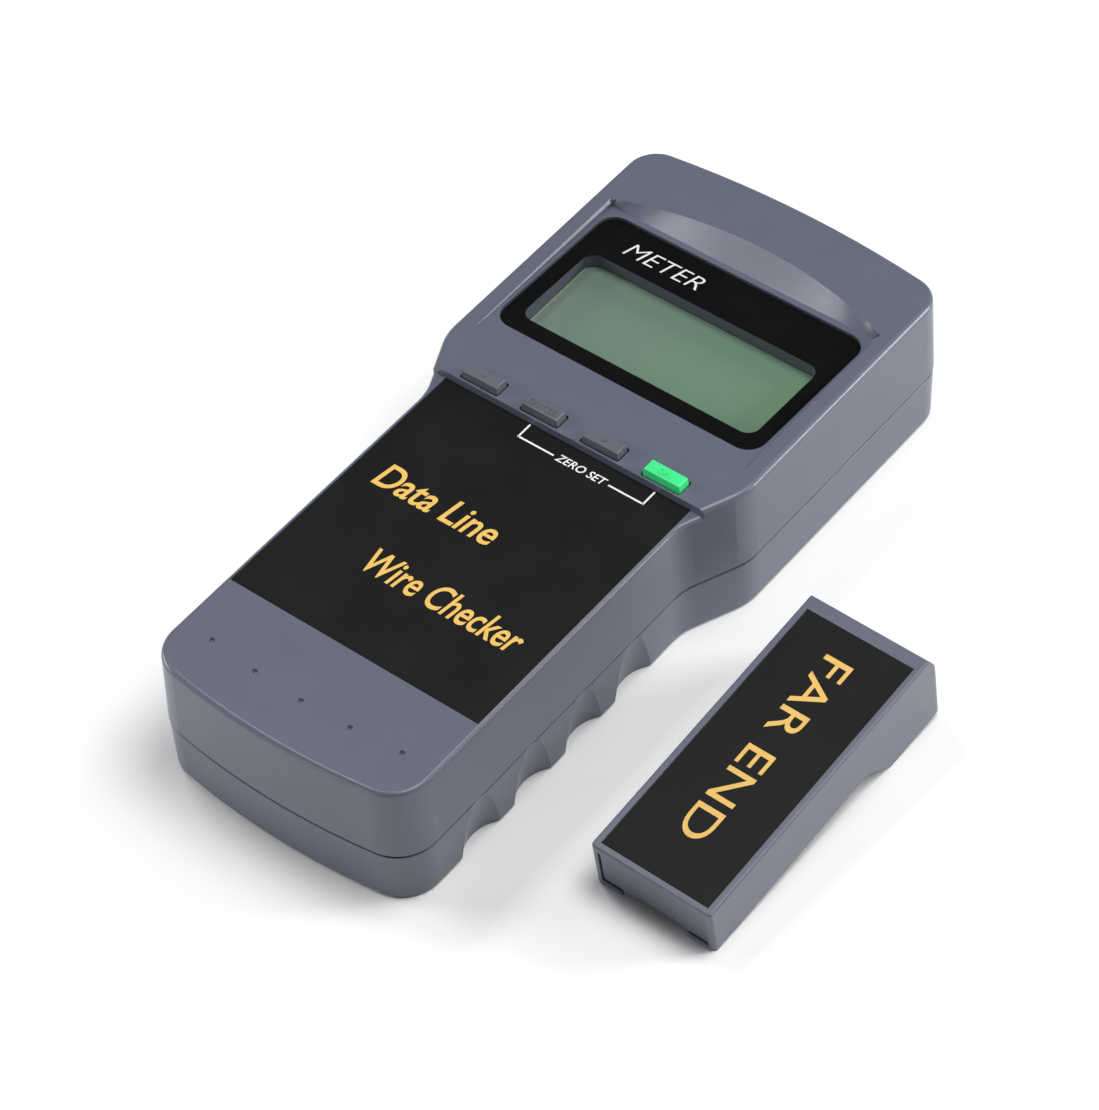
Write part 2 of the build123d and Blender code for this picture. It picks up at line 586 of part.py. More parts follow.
def chip(x, y, width, length, height):
    """Component that stands on top of the main board."""
    return block((x - width / 2, y - length / 2, BOARD_TOP_Z),
                 (x + width / 2, y + length / 2, BOARD_TOP_Z + height))


def screw(x, y, seat_z, tip_z, radius, head_radius, head_height):
    """Cross-head screw with its head below the seat."""
    body = rod(x, y, seat_z, tip_z, radius) + rod(x, y, seat_z - head_height, seat_z, head_radius)
    arm, depth = head_radius * 0.55, head_height * 0.45
    low_z = seat_z - head_height
    for half_x, half_y in ((arm, 0.3), (0.3, arm)):
        body -= block((x - half_x, y - half_y, low_z - 1), (x + half_x, y + half_y, low_z + depth))
    return body


def case_screws():
    """The four screws that hold the case together."""
    screws = [screw(x, y, HEAD_SEAT_Z, HEAD_CEILING_Z - 2, SCREW_RADIUS, SCREW_HEAD_RADIUS, SCREW_HEAD_HEIGHT)
              for x, y in CASE_SCREWS_HEAD]
    screws += [screw(x, y, HANDLE_SEAT_Z, 22, SCREW_RADIUS, SCREW_HEAD_RADIUS, SCREW_HEAD_HEIGHT)
               for x, y in CASE_SCREWS_HANDLE]
    return Compound(children=screws)


def remote_solid():
    """Full outer form of the remote, without hollows."""
    lean = [(REMOTE_LENGTH + y, z) for y, z in REMOTE_END_LEAN]
    side = ThreePointArc(*lean)
    side += Polyline(lean[2], (REMOTE_LENGTH, -REMOTE_END_DEPTH), (REMOTE_STEP_Y, -REMOTE_STEP_DEPTH),
                     (REMOTE_RAMP_Y, -REMOTE_THIN), (0, -REMOTE_THIN), (0, 0), lean[0])
    profile = make_face(side)
    ridge = [v for v in profile.vertices() if v.Y > -0.01 and v.X > 1]
    solid = extrude(Plane.YZ * fillet(ridge, REMOTE_END_RADIUS), REMOTE_WIDTH / 2, both=True)
    body = block((-REMOTE_WIDTH / 2, 0, -REMOTE_STEP_DEPTH - 1), (REMOTE_WIDTH / 2, REMOTE_LENGTH, 0))
    body = fillet(body.edges().filter_by(Axis.Z).group_by(Axis.Y)[-1], REMOTE_CORNER_RADIUS)
    body = fillet(body.edges().filter_by(Axis.Z).group_by(Axis.Y)[0], REMOTE_THIN_CORNER_RADIUS)
    return solid & fillet(body.edges().group_by(Axis.Z)[-1], REMOTE_EDGE_RADIUS)


def trapezoid_bar(foot, top, low_z, high_z, low_y, high_y):
    """Bar along Y whose section narrows upward."""
    section = Polyline((-foot / 2, low_z), (foot / 2, low_z), (top / 2, high_z), (-top / 2, high_z), close=True)
    return Pos(0, high_y, 0) * extrude(Plane.XZ * make_face(section), high_y - low_y)


def channel(growth, low_y, high_y):
    """Space of the groove along the remote's underside, grown evenly."""
    slope = (CHANNEL_FOOT_WIDTH - CHANNEL_TOP_WIDTH) / CHANNEL_HEIGHT
    low_z, high_z = -REMOTE_THIN - 1, -REMOTE_THIN + CHANNEL_HEIGHT + growth
    foot = CHANNEL_FOOT_WIDTH + 2 * growth + slope
    top = CHANNEL_TOP_WIDTH + 2 * growth - slope * growth
    return trapezoid_bar(foot, top, low_z, high_z, low_y, high_y)


def remote_cavity():
    """Inside of the remote, open at the thin end."""
    wall = REMOTE_WALL
    lean_low, lean_high = REMOTE_END_LEAN[2], REMOTE_END_LEAN[0]
    side = Polyline((-1, -wall), (REMOTE_LENGTH + lean_high[0] - wall, -wall),
                    (REMOTE_LENGTH + lean_low[0] - wall, lean_low[1]),
                    (REMOTE_LENGTH - wall, -REMOTE_END_DEPTH + REMOTE_FLOOR),
                    (REMOTE_STEP_Y, -REMOTE_STEP_DEPTH + REMOTE_FLOOR),
                    (REMOTE_RAMP_Y + 0.6, -REMOTE_THIN + REMOTE_FLOOR),
                    (-1, -REMOTE_THIN + REMOTE_FLOOR), close=True)
    return extrude(Plane.YZ * make_face(side), REMOTE_WIDTH / 2 - wall, both=True)


def remote_case():
    """Sleeve of the remote with its thick end, underside rails and board stakes."""
    case = remote_solid() - remote_cavity()
    case -= trapezoid_bar(CHANNEL_FOOT_WIDTH, CHANNEL_FOOT_WIDTH, -REMOTE_THIN - 1,
                          -REMOTE_THIN + REMOTE_FLOOR + 1, -1, CHANNEL_END_Y)
    half = REMOTE_LABEL_WIDTH / 2 + LABEL_GAP
    case -= block((-half, REMOTE_LABEL_Y - LABEL_GAP, -LABEL_RECESS),
                  (half, REMOTE_LABEL_Y + REMOTE_LABEL_LENGTH + LABEL_GAP, 1))
    for x, y in REMOTE_STAKES:
        case += rod(x, y, REMOTE_BOARD_TOP, -REMOTE_WALL, 1.6)
        case += rod(x, y, REMOTE_BOARD_TOP - REMOTE_BOARD_THICKNESS - 0.5, -REMOTE_WALL, REMOTE_STAKE_RADIUS)
    for x, y in REMOTE_SCREWS:
        case -= rod(x, y, -REMOTE_THIN - 1, -REMOTE_THIN + 3, REMOTE_SCREW_RADIUS + 0.15)
        case -= rod(x, y, -REMOTE_THIN - 1, -REMOTE_THIN + REMOTE_SCREW_HEAD_HEIGHT,
                    REMOTE_SCREW_HEAD_RADIUS + 0.15)
    case -= Pos(0, REMOTE_JACK_FRONT_Y, REMOTE_BOARD_TOP - REMOTE_BOARD_THICKNESS) * jack_opening()
    return case


def remote_base():
    """Base of the remote: the grooved underside, its flanges and the end panel."""
    floor_z = -REMOTE_THIN + REMOTE_FLOOR
    low_y = REMOTE_PANEL_INSET
    panel_y = low_y + REMOTE_PANEL_THICKNESS
    high_y = CHANNEL_END_Y - REMOTE_PANEL_GAP
    half = REMOTE_WIDTH / 2 - REMOTE_WALL - REMOTE_PANEL_GAP
    base = block((-half, low_y, floor_z + REMOTE_PANEL_GAP), (half, panel_y, -REMOTE_WALL - REMOTE_PANEL_GAP))
    base += block((-REMOTE_FLANGE_HALF, panel_y - 0.1, floor_z),
                  (REMOTE_FLANGE_HALF, high_y, floor_z + REMOTE_FLANGE_THICKNESS))
    tray_half = CHANNEL_FOOT_WIDTH / 2 - 0.2
    base += block((-tray_half, low_y, -REMOTE_THIN), (tray_half, high_y, floor_z + REMOTE_FLANGE_THICKNESS))
    above_floor = block((-half, low_y, floor_z), (half, high_y, -REMOTE_WALL - 1))
    base += channel(CHANNEL_WALL, low_y, high_y) & above_floor
    base -= channel(0, -1, high_y - REMOTE_PANEL_THICKNESS)
    for x, y in REMOTE_SCREWS:
        base += rod(x, y, floor_z, floor_z + 3.2, 1.9)
        base -= rod(x, y, floor_z - 1, floor_z + 2.6, REMOTE_SCREW_RADIUS)
    return base


def remote_board():
    """Circuit board under the remote's face."""
    low_z = REMOTE_BOARD_TOP - REMOTE_BOARD_THICKNESS
    board = block((-REMOTE_BOARD_HALF, REMOTE_BOARD_LOW_Y, low_z),
                  (REMOTE_BOARD_HALF, REMOTE_BOARD_HIGH_Y, REMOTE_BOARD_TOP))
    for x, y in REMOTE_STAKES:
        board -= rod(x, y, low_z - 1, REMOTE_BOARD_TOP + 1, REMOTE_STAKE_RADIUS + 0.1)
    return board


def remote_resistors():
    """Two rows of small identification resistors under the remote's board."""
    top_z = REMOTE_BOARD_TOP - REMOTE_BOARD_THICKNESS
    parts = []
    for index in range(8):
        x, y = -6.0 + 12.0 * (index % 2), 18.0 + 7.0 * (index // 2)
        parts.append(block((x - 1.6, y - 0.8, top_z - 0.7), (x + 1.6, y + 0.8, top_z)))
    return Compound(children=parts)


def remote_screws():
    """The two small screws through the rails into the base."""
    seat_z = -REMOTE_THIN + REMOTE_SCREW_HEAD_HEIGHT
    screws = [screw(x, y, seat_z, seat_z + 2.8, REMOTE_SCREW_RADIUS, REMOTE_SCREW_HEAD_RADIUS,
                    REMOTE_SCREW_HEAD_HEIGHT - 0.2) for x, y in REMOTE_SCREWS]
    return Compound(children=screws)


REMOTE_HEIGHT = REMOTE_THIN * math.cos(math.radians(REMOTE_TILT))
REMOTE_PLACE = Pos(REMOTE_X, REMOTE_Y, REMOTE_HEIGHT) * Rot(0, 0, REMOTE_TURN) * Rot(REMOTE_TILT, 0, 0)

nodes = {}
nodes["front_shell"] = front_shell()
nodes["back_shell"] = back_shell()
nodes["front_label"] = block((-LABEL_WIDTH / 2, STEP_Y - LABEL_LENGTH, HANDLE_Z - LABEL_RECESS),
                             (LABEL_WIDTH / 2, STEP_Y - 0.05, HANDLE_Z - LABEL_RECESS + LABEL_THICKNESS))
nodes["display_window"] = rounded_block(WINDOW_FRAME, WINDOW_WIDTH, WINDOW_LENGTH, -WINDOW_THICKNESS, 0,
                                        WINDOW_CORNER)
nodes["display_mask"] = rounded_block(WINDOW_FRAME, WINDOW_WIDTH, WINDOW_LENGTH,
                                      -WINDOW_THICKNESS - MASK_THICKNESS, -WINDOW_THICKNESS, WINDOW_CORNER)
nodes["display_mask"] -= rounded_block(VIEW_FRAME, VIEW_WIDTH, VIEW_LENGTH, -3, 1, VIEW_CORNER)
nodes["lcd_glass"] = plate_at_view(LCD_WIDTH, LCD_LENGTH, LCD_TOP_Z - LCD_THICKNESS, LCD_TOP_Z)
nodes["lcd_backlight"] = plate_at_view(BACKLIGHT_WIDTH, BACKLIGHT_LENGTH, BOARD_TOP_Z,
                                       BOARD_TOP_Z + BACKLIGHT_THICKNESS)
nodes["lcd_frame"] = lcd_frame()
nodes["lcd_contact_strips"] = contact_strips()
nodes["main_board"] = main_board()
nodes["microcontroller"] = chip(0, -8, 14, 14, 1.6)
nodes["switching_chips"] = Compound(children=[chip(x, -24, 4, 10, 1.8) for x in (-12, 0, 12)])
nodes["crystal"] = chip(14, -6, 4.6, 11, 3.6)
nodes["capacitors"] = Compound(children=[rod(x, -8, BOARD_TOP_Z, BOARD_TOP_Z + 6, 2.5) for x in (-20, -13)])
for number, x in enumerate(KEY_XS, start=1):
    nodes[f"key_cap_{number}"] = key_cap(x)
    nodes[f"key_plunger_{number}"] = rod(x, KEY_Y, PLUNGER_BOTTOM_Z, PLUNGER_TOP_Z, PLUNGER_RADIUS)
nodes["key_switches"] = switch_bodies()
for name, x in zip(("line_jack", "loopback_jack"), JACK_XS):
    place = Pos(x, JACK_FRONT_Y, BOARD_BOTTOM_Z)
    nodes[name] = place * jack()
    nodes[f"{name}_contacts"] = place * jack_contacts()
nodes["battery_door"] = battery_door()
nodes["battery"] = battery()
nodes["battery_terminals"] = battery_studs()
nodes["battery_snap"] = battery_snap()
for name, x in LEAD_XS.items():
    nodes[name] = battery_lead(x)
nodes["case_screws"] = case_screws()
nodes["board_screws"] = Compound(children=[
    screw(x, y, BOARD_BOTTOM_Z, HEAD_CEILING_Z - 2, BOARD_SCREW_RADIUS, BOARD_SCREW_HEAD_RADIUS,
          BOARD_SCREW_HEAD_HEIGHT) for x, y in BOARD_SCREWS])

remote_nodes = {}
remote_nodes["remote_case"] = remote_case()
remote_nodes["remote_base"] = remote_base()
remote_nodes["remote_label"] = block(
    (-REMOTE_LABEL_WIDTH / 2, REMOTE_LABEL_Y, -LABEL_RECESS),
    (REMOTE_LABEL_WIDTH / 2, REMOTE_LABEL_Y + REMOTE_LABEL_LENGTH, -LABEL_RECESS + LABEL_THICKNESS))
remote_nodes["remote_board"] = remote_board()
remote_nodes["remote_resistors"] = remote_resistors()
remote_nodes["remote_screws"] = remote_screws()
jack_place = Pos(0, REMOTE_JACK_FRONT_Y, REMOTE_BOARD_TOP - REMOTE_BOARD_THICKNESS)
remote_nodes["remote_jack"] = jack_place * jack()
remote_nodes["remote_jack_contacts"] = jack_place * jack_contacts()
for name, shape in remote_nodes.items():
    nodes[name] = REMOTE_PLACE * shape

os.makedirs("parts", exist_ok=True)
for name, shape in nodes.items():
    export_step(shape, f"parts/{name}.step")
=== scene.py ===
"""Looks of the hand-held network cable tester and its wire-map remote.

Lengths in this script are millimetres unless a name says otherwise; MM turns them into metres.
"""
import math

import bmesh
import bpy
from mathutils import Matrix, Vector


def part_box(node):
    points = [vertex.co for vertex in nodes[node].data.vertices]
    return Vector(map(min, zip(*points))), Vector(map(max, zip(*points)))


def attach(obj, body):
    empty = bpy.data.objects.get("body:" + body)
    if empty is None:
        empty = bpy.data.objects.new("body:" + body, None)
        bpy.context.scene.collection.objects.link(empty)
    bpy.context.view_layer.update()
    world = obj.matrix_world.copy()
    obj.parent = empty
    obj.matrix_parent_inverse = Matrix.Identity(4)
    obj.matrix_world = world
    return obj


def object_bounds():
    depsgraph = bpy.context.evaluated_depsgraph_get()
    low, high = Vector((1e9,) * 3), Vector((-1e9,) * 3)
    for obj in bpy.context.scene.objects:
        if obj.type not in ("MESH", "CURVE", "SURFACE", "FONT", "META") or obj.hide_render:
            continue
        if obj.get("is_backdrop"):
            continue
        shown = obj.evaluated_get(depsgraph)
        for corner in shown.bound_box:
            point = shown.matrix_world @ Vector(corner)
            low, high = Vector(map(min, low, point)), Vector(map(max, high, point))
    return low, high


MM = 0.001
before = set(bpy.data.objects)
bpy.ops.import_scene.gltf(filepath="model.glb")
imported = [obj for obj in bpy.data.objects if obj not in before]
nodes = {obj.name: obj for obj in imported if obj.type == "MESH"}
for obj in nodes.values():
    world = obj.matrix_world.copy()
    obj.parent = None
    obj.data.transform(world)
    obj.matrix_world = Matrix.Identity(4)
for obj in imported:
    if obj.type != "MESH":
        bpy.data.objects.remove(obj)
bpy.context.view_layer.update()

# Camera, as a turn round the object, in degrees and millimetres
CAMERA_AZIMUTH = 40.78
CAMERA_ELEVATION = 48.45
CAMERA_ROLL = -3.70
CAMERA_DISTANCE = 870.48
CAMERA_RIGHT = 17.98
CAMERA_UP = -2.08
CAMERA_CENTRE = (0.0, -28.0, 33.0)
CAMERA_LENS = 137.84
SENSOR = 36.0

# Colours, linear
CASE_GREY = (0.101, 0.111, 0.152)
REMOTE_GREY = (0.110, 0.118, 0.158)
KEY_GREY = (0.098, 0.102, 0.125)
KEY_GREEN = (0.045, 0.700, 0.230)
LABEL_BLACK = (0.0070, 0.0071, 0.0069)
GOLD_INK = (0.74, 0.46, 0.105)
WHITE_INK = (0.86, 0.86, 0.86)
# LCD face: greyer at its left and greener at its right, a painted shade across the display
LCD_SHADED_LEFT = (0.222, 0.318, 0.258)
LCD_LIT_RIGHT = (0.190, 0.352, 0.210)
# Polariser edge: a real edge, painted pale as a highlight
LCD_EDGE_HIGHLIGHT = (0.36, 0.42, 0.38)
BORDER_BLACK = (0.0022, 0.0022, 0.0022)
WINDOW_TINT = (0.02, 0.021, 0.021)
FLOOR_WHITE = (0.91, 0.91, 0.91)

# Places taken from the model
LABEL_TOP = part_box("front_label")[1].z / MM
LCD_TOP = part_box("lcd_glass")[1].z / MM
KEY_Y = 9.7
HEAD_Z = 35.0
WINDOW_Y = 46.4
VIEW_Y = 42.8
RECESS_NEAR_Y, RECESS_LENGTH, RECESS_DEPTH = 20.5, 48.4, 1.8
RECESS_SLOPE = math.atan(RECESS_DEPTH / RECESS_LENGTH)
WINDOW_Z = HEAD_Z - RECESS_DEPTH * (WINDOW_Y - RECESS_NEAR_Y) / RECESS_LENGTH
REMOTE_X, REMOTE_Y, REMOTE_TURN = 73.45, -62.2, -1.0
REMOTE_THIN, REMOTE_STEP_DEPTH, REMOTE_STEP_Y = 13.2, 19.7, 58.5
REMOTE_TILT = math.atan((REMOTE_STEP_DEPTH - REMOTE_THIN) / REMOTE_STEP_Y)
REMOTE_PLACE = (Matrix.Translation(Vector((REMOTE_X, REMOTE_Y, REMOTE_THIN * math.cos(REMOTE_TILT))) * MM)
                @ Matrix.Rotation(math.radians(REMOTE_TURN), 4, "Z")
                @ Matrix.Rotation(REMOTE_TILT, 4, "X"))
WINDOW_PLACE = (Matrix.Translation(Vector((0, WINDOW_Y, WINDOW_Z)) * MM)
                @ Matrix.Rotation(-RECESS_SLOPE, 4, "X"))
WINDOW_BACK = -0.70          # back of the window, from its face
REMOTE_LABEL_TOP = -0.1      # face of the remote's label, from the face of its case
# Ends, in x, of the LCD's painted shade from its greyer left to its greener right
LCD_LOW_X, LCD_HIGH_X = -30, 32


# ---------------------------------------------------------------- materials

def new_material(name):
    """Material with its Principled node, node tree and object-space coordinates in metres."""
    material = bpy.data.materials.new(name)
    material.use_nodes = True
    tree = material.node_tree
    shader = next(n for n in tree.nodes if n.type == "BSDF_PRINCIPLED")
    place = tree.nodes.new("ShaderNodeTexCoord")
    return material, tree, shader, place.outputs["Object"]


def noise(tree, place, size_mm, detail=2.0, rough=0.5, stretch=None):
    """Noise whose lumps are about size_mm across."""
    node = tree.nodes.new("ShaderNodeTexNoise")
    node.inputs["Scale"].default_value = 1000.0 / size_mm
    node.inputs["Detail"].default_value = detail
    node.inputs["Roughness"].default_value = rough
    if stretch:
        mapping = tree.nodes.new("ShaderNodeMapping")
        mapping.inputs["Scale"].default_value = stretch
        tree.links.new(place, mapping.inputs["Vector"])
        place = mapping.outputs["Vector"]
    tree.links.new(place, node.inputs["Vector"])
    return node.outputs["Fac"]


def spread(tree, value, low, high, low_at=0.3, high_at=0.7):
    """Maps a noise value onto a range."""
    node = tree.nodes.new("ShaderNodeMapRange")
    node.inputs["From Min"].default_value = low_at
    node.inputs["From Max"].default_value = high_at
    node.inputs["To Min"].default_value = low
    node.inputs["To Max"].default_value = high
    tree.links.new(value, node.inputs["Value"])
    return node.outputs["Result"]


def tinted(tree, value, colour, amount):
    """Colour that gets up to amount lighter and darker with a noise value."""
    node = tree.nodes.new("ShaderNodeMix")
    node.data_type = "RGBA"
    node.inputs["A"].default_value = (*[c * (1 - amount) for c in colour], 1)
    node.inputs["B"].default_value = (*[c * (1 + amount) for c in colour], 1)
    tree.links.new(spread(tree, value, 0, 1), node.inputs["Factor"])
    return node.outputs["Result"]


def bump(tree, value, depth_mm, strength, normal=None):
    """Bump of about depth_mm from a noise value, on top of another bump if there is one."""
    node = tree.nodes.new("ShaderNodeBump")
    node.inputs["Distance"].default_value = depth_mm * MM
    node.inputs["Strength"].default_value = strength
    tree.links.new(value, node.inputs["Height"])
    if normal:
        tree.links.new(normal, node.inputs["Normal"])
    return node.outputs["Normal"]


def plastic(name, colour, rough=0.45, grain_mm=0.35, grain_depth=0.02, mottle=0.03, coat=0.0):
    """Moulded plastic: fine spark-eroded grain, slow waves from the mould and slight mottling."""
    material, tree, shader, place = new_material(name)
    grain = noise(tree, place, grain_mm, 3.0, 0.6)
    slow = noise(tree, place, 22.0, 1.0)
    tree.links.new(tinted(tree, noise(tree, place, 9.0, 4.0), colour, mottle), shader.inputs["Base Color"])
    tree.links.new(spread(tree, grain, rough - 0.05, rough + 0.06), shader.inputs["Roughness"])
    normal = bump(tree, slow, 0.12, 0.35)
    tree.links.new(bump(tree, grain, grain_depth, 0.6, normal), shader.inputs["Normal"])
    shader.inputs["Coat Weight"].default_value = coat
    shader.inputs["Coat Roughness"].default_value = 0.15
    return material


def metal(name, colour, rough=0.25, brushed=False):
    """Plated or brushed metal with slight stains."""
    material, tree, shader, place = new_material(name)
    grain = noise(tree, place, 0.3, 3.0, 0.6, (1.0, 12.0, 1.0) if brushed else None)
    tree.links.new(tinted(tree, noise(tree, place, 1.6, 3.0), colour, 0.08), shader.inputs["Base Color"])
    tree.links.new(spread(tree, grain, rough - 0.08, rough + 0.1), shader.inputs["Roughness"])
    tree.links.new(bump(tree, grain, 0.01, 0.4), shader.inputs["Normal"])
    shader.inputs["Metallic"].default_value = 1.0
    return material


def label_film():
    """Printed polycarbonate film with a fine pebbled face."""
    material, tree, shader, place = new_material("label_film")
    pebble = tree.nodes.new("ShaderNodeTexVoronoi")
    pebble.feature = "SMOOTH_F1"
    pebble.inputs["Scale"].default_value = 1000.0 / 1.1
    warp = tree.nodes.new("ShaderNodeMapping")
    warp.inputs["Scale"].default_value = (1.0, 0.45, 1.0)
    tree.links.new(place, warp.inputs["Vector"])
    tree.links.new(warp.outputs["Vector"], pebble.inputs["Vector"])
    cloud = noise(tree, place, 12.0, 4.0)
    tree.links.new(tinted(tree, cloud, LABEL_BLACK, 0.12), shader.inputs["Base Color"])
    tree.links.new(spread(tree, cloud, 0.42, 0.50), shader.inputs["Roughness"])
    shader.inputs["Specular IOR Level"].default_value = 0.14
    normal = bump(tree, pebble.outputs["Distance"], 0.05, 0.5)
    tree.links.new(bump(tree, noise(tree, place, 0.4, 2.0), 0.012, 0.4, normal), shader.inputs["Normal"])
    return material


def ink(name, colour):
    """Screen-printed ink: nearly even, with a slight grain from the mesh."""
    material, tree, shader, place = new_material(name)
    grain = noise(tree, place, 0.25, 3.0, 0.6)
    tree.links.new(tinted(tree, noise(tree, place, 1.5, 4.0), colour, 0.05), shader.inputs["Base Color"])
    tree.links.new(spread(tree, grain, 0.38, 0.5), shader.inputs["Roughness"])
    tree.links.new(bump(tree, grain, 0.008, 0.5), shader.inputs["Normal"])
    return material


def clear_window():
    """Clear acrylic: nearly all see-through with a glossy face."""
    material, tree, shader, place = new_material("clear_window")
    tree.links.new(bump(tree, noise(tree, place, 18.0, 1.0), 0.03, 0.2), shader.inputs["Normal"])
    shader.inputs["Base Color"].default_value = (*WINDOW_TINT, 1)
    shader.inputs["Roughness"].default_value = 0.04
    shader.inputs["Alpha"].default_value = 0.12
    return material


def gloss_black():
    """Black border printed on the back of the window."""
    material, tree, shader, place = new_material("border_black")
    cloud = noise(tree, place, 14.0, 2.0)
    tree.links.new(tinted(tree, cloud, BORDER_BLACK, 0.2), shader.inputs["Base Color"])
    tree.links.new(spread(tree, cloud, 0.22, 0.3), shader.inputs["Roughness"])
    shader.inputs["Specular IOR Level"].default_value = 0.25
    return material


def lcd_face():
    """Reflective liquid-crystal face, greener towards its lower right and greyer towards its left; the
    difference is painted shade.
    """
    material, tree, shader, place = new_material("lcd_face")
    split = tree.nodes.new("ShaderNodeSeparateXYZ")
    tree.links.new(place, split.inputs["Vector"])
    ramp = tree.nodes.new("ShaderNodeMapRange")
    ramp.inputs["From Min"].default_value = LCD_LOW_X * MM
    ramp.inputs["From Max"].default_value = LCD_HIGH_X * MM
    tree.links.new(split.outputs["X"], ramp.inputs["Value"])
    mix = tree.nodes.new("ShaderNodeMix")
    mix.data_type = "RGBA"
    mix.inputs["A"].default_value = (*LCD_SHADED_LEFT, 1)
    mix.inputs["B"].default_value = (*LCD_LIT_RIGHT, 1)
    tree.links.new(ramp.outputs["Result"], mix.inputs["Factor"])
    tree.links.new(mix.outputs["Result"], shader.inputs["Base Color"])
    pixels = noise(tree, place, 0.3, 2.0)
    tree.links.new(spread(tree, pixels, 0.30, 0.38), shader.inputs["Roughness"])
    shader.inputs["Specular IOR Level"].default_value = 0.3
    return material


def board_mask():
    """Green solder mask with faint traces."""
    material, tree, shader, place = new_material("solder_mask")
    traces = tree.nodes.new("ShaderNodeTexBrick")
    traces.inputs["Scale"].default_value = 130.0
    traces.inputs["Color1"].default_value = (0.012, 0.085, 0.035, 1)
    traces.inputs["Color2"].default_value = (0.016, 0.105, 0.045, 1)
    traces.inputs["Mortar"].default_value = (0.035, 0.190, 0.080, 1)
    traces.inputs["Mortar Size"].default_value = 0.03
    tree.links.new(place, traces.inputs["Vector"])
    tree.links.new(traces.outputs["Color"], shader.inputs["Base Color"])
    tree.links.new(bump(tree, traces.outputs["Fac"], 0.03, 0.4), shader.inputs["Normal"])
    shader.inputs["Roughness"].default_value = 0.3
    return material


def floor_material():
    """Plain pale paper sweep."""
    material, tree, shader, place = new_material("pale_floor")
    tree.links.new(tinted(tree, noise(tree, place, 150.0, 2.0), FLOOR_WHITE, 0.004),
                   shader.inputs["Base Color"])
    shader.inputs["Roughness"].default_value = 0.7
    shader.inputs["Specular IOR Level"].default_value = 0.2
    return material


case_plastic = plastic("case_plastic", CASE_GREY, 0.32)
remote_plastic = plastic("remote_plastic", REMOTE_GREY, 0.32)
key_plastic = plastic("key_plastic", KEY_GREY, 0.42, 0.3, 0.012)
green_plastic = plastic("green_plastic", KEY_GREEN, 0.38, 0.3, 0.01, 0.04)
black_plastic = plastic("black_plastic", (0.018, 0.018, 0.019), 0.4, 0.3, 0.012)
grey_plastic = plastic("grey_plastic", (0.52, 0.56, 0.54), 0.5)
milky_plastic = plastic("milky_plastic", (0.75, 0.77, 0.75), 0.35, 0.3, 0.01)
strip_rubber = plastic("strip_rubber", (0.35, 0.12, 0.10), 0.6)
chip_plastic = plastic("chip_plastic", (0.015, 0.015, 0.016), 0.5, 0.15, 0.01)
sleeve_plastic = plastic("sleeve_plastic", (0.02, 0.03, 0.10), 0.25, 0.3, 0.005, 0.03, 0.3)
wrap_print = plastic("battery_wrap", (0.03, 0.03, 0.035), 0.3, 0.4, 0.006, 0.05, 0.4)
red_insulation = plastic("red_insulation", (0.45, 0.02, 0.02), 0.35, 0.3, 0.006)
black_insulation = plastic("black_insulation", (0.02, 0.02, 0.02), 0.35, 0.3, 0.006)
screw_steel = metal("screw_steel", (0.45, 0.45, 0.46), 0.3, True)
bright_steel = metal("bright_steel", (0.75, 0.75, 0.75), 0.15)
gold_plate = metal("gold_plate", (0.90, 0.62, 0.22), 0.2)
can_steel = metal("can_steel", (0.60, 0.60, 0.60), 0.3, True)
gold_ink = ink("gold_ink", GOLD_INK)
white_ink = ink("white_ink", WHITE_INK)
film = label_film()

NODE_MATERIALS = {
    "front_shell": case_plastic, "back_shell": case_plastic, "battery_door": case_plastic,
    "front_label": film, "remote_label": film,
    "display_window": clear_window(), "display_mask": gloss_black(), "lcd_glass": lcd_face(),
    "lcd_backlight": milky_plastic, "lcd_frame": grey_plastic, "lcd_contact_strips": strip_rubber,
    "main_board": board_mask(), "microcontroller": chip_plastic, "switching_chips": chip_plastic,
    "crystal": can_steel, "capacitors": sleeve_plastic, "key_switches": chip_plastic,
    "line_jack": black_plastic, "loopback_jack": black_plastic, "remote_jack": black_plastic,
    "line_jack_contacts": gold_plate, "loopback_jack_contacts": gold_plate,
    "remote_jack_contacts": gold_plate,
    "battery": wrap_print, "battery_terminals": bright_steel, "battery_snap": black_insulation,
    "battery_lead_red": red_insulation, "battery_lead_black": black_insulation,
    "case_screws": screw_steel, "board_screws": screw_steel, "remote_screws": screw_steel,
    "remote_case": remote_plastic, "remote_base": remote_plastic, "remote_resistors": chip_plastic,
}
NODE_MATERIALS["remote_board"] = NODE_MATERIALS["main_board"]
for number in range(1, 5):
    NODE_MATERIALS[f"key_cap_{number}"] = green_plastic if number == 4 else key_plastic
    NODE_MATERIALS[f"key_plunger_{number}"] = black_plastic
for name, material in NODE_MATERIALS.items():
    for slot in nodes[name].material_slots:
        slot.material = material


# ---------------------------------------------------------------- printed pieces

FLAT = Matrix.Identity(4)
CAPITAL_SHARE = 0.73   # height of a capital as a share of the font's size
PRINT_THICKNESS = 0.05


def add_piece(name, mesh, body, material):
    """Puts a mesh into the scene as a piece of one body."""
    piece = bpy.data.objects.new(name, mesh)
    bpy.context.scene.collection.objects.link(piece)
    mesh.materials.clear()
    mesh.materials.append(material)
    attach(piece, body)


